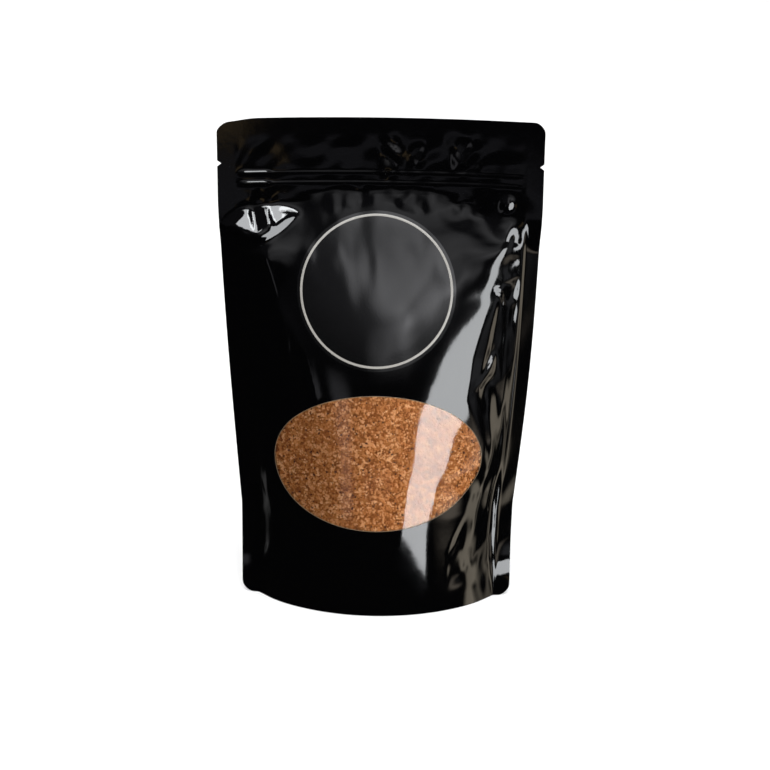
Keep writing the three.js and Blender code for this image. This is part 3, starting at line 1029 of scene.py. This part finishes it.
def noise_on(nodes, links, place, **values):
    noise = add(nodes, "ShaderNodeTexNoise", **values)
    links.new(place.outputs["Object"], noise.inputs["Vector"])
    return noise.outputs["Fac"]


def add_bump(nodes, links, shader, height, strength, distance):
    bump = add(nodes, "ShaderNodeBump", Strength=strength, Distance=distance)
    links.new(height, bump.inputs["Height"])
    links.new(bump.outputs["Normal"], shader.inputs["Normal"])


def film_material():
    look = {"Base Color": (0.0004, 0.0004, 0.0005, 1), "IOR": FILM_IOR}
    material, nodes, links, shader = new_material("glossy_black_film", **look)
    place = add(nodes, "ShaderNodeTexCoord")
    smudge = noise_on(nodes, links, place, Scale=38.0, Detail=5.0, Roughness=0.6)
    gloss = add(nodes, "ShaderNodeMapRange",
                **{"From Min": 0.35, "From Max": 0.7, "To Min": 0.05, "To Max": 0.09})
    links.new(smudge, gloss.inputs["Value"])
    links.new(gloss.outputs["Result"], shader.inputs["Roughness"])
    ripple = noise_on(nodes, links, place, Scale=240.0, Detail=3.0, Roughness=0.5)
    add_bump(nodes, links, shader, ripple, 0.12, 0.00012)
    return material


def window_material():
    material, nodes, links, shader = new_material("clear_window_film")
    nodes.remove(shader)
    output = nodes["Material Output"]
    clear = add(nodes, "ShaderNodeBsdfTransparent")
    gloss = add(nodes, "ShaderNodeBsdfGlossy", Roughness=0.08)
    fresnel = add(nodes, "ShaderNodeFresnel", IOR=WINDOW_IOR)
    mix = add(nodes, "ShaderNodeMixShader")
    links.new(fresnel.outputs["Fac"], mix.inputs["Fac"])
    links.new(clear.outputs["BSDF"], mix.inputs[1])
    links.new(gloss.outputs["BSDF"], mix.inputs[2])
    links.new(mix.outputs["Shader"], output.inputs["Surface"])
    return material


def label_material():
    look = {"Base Color": (0.0006, 0.0006, 0.0006, 1), "Roughness": 0.1, "Specular IOR Level": 1.0}
    material, nodes, links, shader = new_material("satin_black_label", **look)
    place = add(nodes, "ShaderNodeTexCoord")
    grain = noise_on(nodes, links, place, Scale=900.0, Detail=2.0)
    add_bump(nodes, links, shader, grain, 0.15, 0.00005)
    return material


def thin_band_material(name, low, high):
    material, nodes, links, shader = new_material(name, Roughness=0.42)
    place = add(nodes, "ShaderNodeTexCoord")
    noise = noise_on(nodes, links, place, Scale=300.0, Detail=3.0)
    ramp = add_ramp(nodes, (0.0, low), (1.0, high))
    links.new(noise, ramp.inputs["Fac"])
    links.new(ramp.outputs["Color"], shader.inputs["Base Color"])
    return material


def mix_material(name, dark, middle, light, scale, roughness=0.75):
    """Dry crumbs: colour varies from crumb to crumb and within each."""
    look = {"Roughness": roughness, "Specular IOR Level": 0.25}
    material, nodes, links, shader = new_material(name, **look)
    place = add(nodes, "ShaderNodeTexCoord")
    coarse = add(nodes, "ShaderNodeTexVoronoi", Scale=scale)
    links.new(place.outputs["Object"], coarse.inputs["Vector"])
    grey = add(nodes, "ShaderNodeSeparateColor")
    links.new(coarse.outputs["Color"], grey.inputs["Color"])
    fine = noise_on(nodes, links, place, Scale=2200.0, Detail=4.0, Roughness=0.65)
    blend = add(nodes, "ShaderNodeMath", operation="MULTIPLY_ADD")
    blend.inputs[1].default_value = 0.55
    links.new(grey.outputs["Red"], blend.inputs[0])
    half = add(nodes, "ShaderNodeMath", operation="MULTIPLY")
    half.inputs[1].default_value = 0.45
    links.new(fine, half.inputs[0])
    links.new(half.outputs["Value"], blend.inputs[2])
    ramp = add_ramp(nodes, (0.1, dark), (0.45, middle), (0.85, light))
    links.new(blend.outputs["Value"], ramp.inputs["Fac"])
    links.new(ramp.outputs["Color"], shader.inputs["Base Color"])
    add_bump(nodes, links, shader, fine, 0.5, 0.0002)
    return material


def floor_material():
    return new_material("pale_floor", **{"Base Color": (0.86, 0.86, 0.86, 1), "Roughness": 0.7})[0]


# ======== Stage, light and camera ========

def direction(azimuth, elevation):
    """Unit vector from the pouch, azimuth measured from the front towards its right."""
    a, e = math.radians(azimuth), math.radians(elevation)
    return Vector((math.sin(a) * math.cos(e), -math.cos(a) * math.cos(e), math.sin(e)))


def area_light(name, azimuth, elevation, distance, size, radiance, lean=0.0, diffuse=True):
    """A soft box that faces the pouch, as bright as asked whatever its size."""
    data = bpy.data.lights.new(name, "AREA")
    data.shape = "RECTANGLE"
    data.size, data.size_y = size
    data.energy = radiance * math.pi * size[0] * size[1]
    data.color = SOFT_BOX_TINT
    light = link_object(name, data)
    towards = direction(azimuth, elevation)
    light.location = Vector(LIGHT_CENTRE) + towards * distance
    light.rotation_euler = (-towards).to_track_quat("-Z", "Y").to_euler()
    light.rotation_euler.rotate_axis("Z", math.radians(lean))
    light.visible_diffuse = diffuse
    return light


def build_stage():
    mesh = bpy.data.meshes.new("floor")
    corners = ((-1, -1), (1, -1), (1, 1), (-1, 1))
    mesh.from_pydata([(x * FLOOR_REACH, y * FLOOR_REACH, 0) for x, y in corners], [], [(0, 1, 2, 3)])
    floor = link_object("floor", mesh)
    mesh.materials.append(floor_material())
    floor.visible_glossy = False

    sun = bpy.data.lights.new("overhead", "SUN")
    sun.energy = OVERHEAD
    sun.angle = math.radians(OVERHEAD_SPREAD)
    overhead = link_object("overhead", sun)
    overhead.visible_glossy = False
    overhead.rotation_euler = (math.radians(OVERHEAD_TILT), 0.0, 0.0)


def build_world():
    """White all round for the floor and the mix; what the gloss mirrors is a dim room."""
    world = bpy.data.worlds.new("studio")
    bpy.context.scene.world = world
    world.use_nodes = True
    nodes = world.node_tree.nodes
    links = world.node_tree.links
    background = nodes["Background"]
    place = add(nodes, "ShaderNodeTexCoord")

    def band(axis, *edges):
        """1 between the middle edges along an axis, easing to 0 at the outer ones."""
        shades = (BLACK, WHITE, WHITE, BLACK)
        ramp = add_ramp(nodes, *((0.5 + edge / 2, shade) for edge, shade in zip(edges, shades)))
        along = add(nodes, "ShaderNodeVectorMath", operation="DOT_PRODUCT")
        along.inputs[1].default_value = axis
        links.new(place.outputs["Generated"], along.inputs[0])
        half = add(nodes, "ShaderNodeMath", operation="MULTIPLY_ADD")
        half.inputs[1].default_value = 0.5
        half.inputs[2].default_value = 0.5
        links.new(along.outputs["Value"], half.inputs[0])
        links.new(half.outputs["Value"], ramp.inputs["Fac"])
        return ramp.outputs["Color"]

    def both(first, second):
        node = add(nodes, "ShaderNodeMix", data_type="RGBA", blend_type="MULTIPLY")
        node.inputs["Factor"].default_value = 1.0
        links.new(first, node.inputs["A"])
        links.new(second, node.inputs["B"])
        return node.outputs["Result"]

    room = None
    for first_axis, first_edges, second_axis, second_edges, shade in ROOM:
        patch = both(band(first_axis, *first_edges), band(second_axis, *second_edges))
        tint = add(nodes, "ShaderNodeVectorMath", operation="MULTIPLY_ADD")
        tint.inputs[1].default_value = shade
        tint.inputs[2].default_value = (ROOM_BLACK,) * 3
        links.new(patch, tint.inputs[0])
        if room is not None:
            links.new(room, tint.inputs[2])
        room = tint.outputs["Vector"]
    path = add(nodes, "ShaderNodeLightPath")
    choose = add(nodes, "ShaderNodeMix", data_type="RGBA")
    choose.inputs["A"].default_value = WHITE
    links.new(path.outputs["Is Glossy Ray"], choose.inputs["Factor"])
    links.new(room, choose.inputs["B"])
    links.new(choose.outputs["Result"], background.inputs["Color"])
    background.inputs["Strength"].default_value = 1.0


def build_camera():
    data = bpy.data.cameras.new("camera")
    camera = link_object("camera", data)
    azimuth, elevation, roll = (math.radians(CAMERA[key]) for key in ("azimuth", "elevation", "roll"))
    forward = Vector((math.sin(azimuth) * math.cos(elevation), math.cos(azimuth) * math.cos(elevation),
                      -math.sin(elevation)))
    camera.location = Vector(CAMERA_TARGET) - forward * CAMERA["distance"]
    camera.rotation_euler = forward.to_track_quat("-Z", "Y").to_euler()
    camera.rotation_euler.rotate_axis("Z", roll)
    data.sensor_width = SENSOR
    data.lens = SENSOR * CAMERA["focal"] / CAMERA["frame"]
    bpy.context.scene.camera = camera


# ======== The object ========

film = solve_film()
shell = build_film(film, film_material(), window_material())
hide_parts("pouch")
disc = build_label(film, label_material())
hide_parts("label")
ink = thin_band_material("cream_ink", (0.18, 0.17, 0.155, 1), (0.22, 0.21, 0.19, 1))
build_band("label_ring", film, ink, (LABEL["u"], LABEL["v"]), (LABEL["ring"],) * 2,
           LABEL["ring_width"], INK_STAND)
# a thin darker brown band laid along the window's edge
rim = thin_band_material("window_rim", (0.12, 0.075, 0.035, 1), (0.2, 0.13, 0.07, 1))
build_band("window_rim", film, rim, (WINDOW["u"], WINDOW["v"]),
           (WINDOW["half_width"], WINDOW["half_height"]), WINDOW["rim"], RIM_STAND)
packed = mix_material("packed_mix", (0.12, 0.031, 0.004, 1), (0.273, 0.089, 0.018, 1),
                      (0.448, 0.176, 0.049, 1), 700.0)
core = build_core(film, packed)
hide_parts("seed_mix")
tan = mix_material("tan_crumb", (0.339, 0.109, 0.021, 1), (0.547, 0.226, 0.069, 1),
                   (0.765, 0.437, 0.208, 1), 450.0)
brown = mix_material("brown_crumb", (0.164, 0.04, 0.006, 1), (0.344, 0.113, 0.023, 1),
                     (0.525, 0.226, 0.072, 1), 450.0)
dark = mix_material("dark_seed", (0.033, 0.01, 0.004, 1), (0.077, 0.024, 0.01, 1),
                    (0.175, 0.066, 0.027, 1), 500.0, 0.6)
scatter("tan_crumbs", film, tan, 4700, 1.45, crumb_shape, (1.0, 0.8, 0.6), 0.5, (0.02, 0.5), SEED + 2)
scatter("brown_crumbs", film, brown, 2300, 1.4, crumb_shape, (1.1, 0.75, 0.5), 0.5, (0.05, 0.6), SEED + 3)
scatter("dark_seeds", film, dark, 300, 1.4, grain_shape, (0.62, 0.55, 1.0), 1.2, (0.05, 0.4), SEED + 4)

build_stage()
build_world()
area_light("strip", 32.5, -5.5, 1.1, (0.4, 0.74), 17.0, lean=-14.0)
area_light("above_left", -2.0, 49.0, 1.2, (0.5, 0.36), 20.0, diffuse=False)
area_light("above_camera", 8.0, 50.0, 1.2, (0.12, 0.4), 20.0, diffuse=False)
build_camera()
bpy.context.scene.view_settings.view_transform = "Standard"
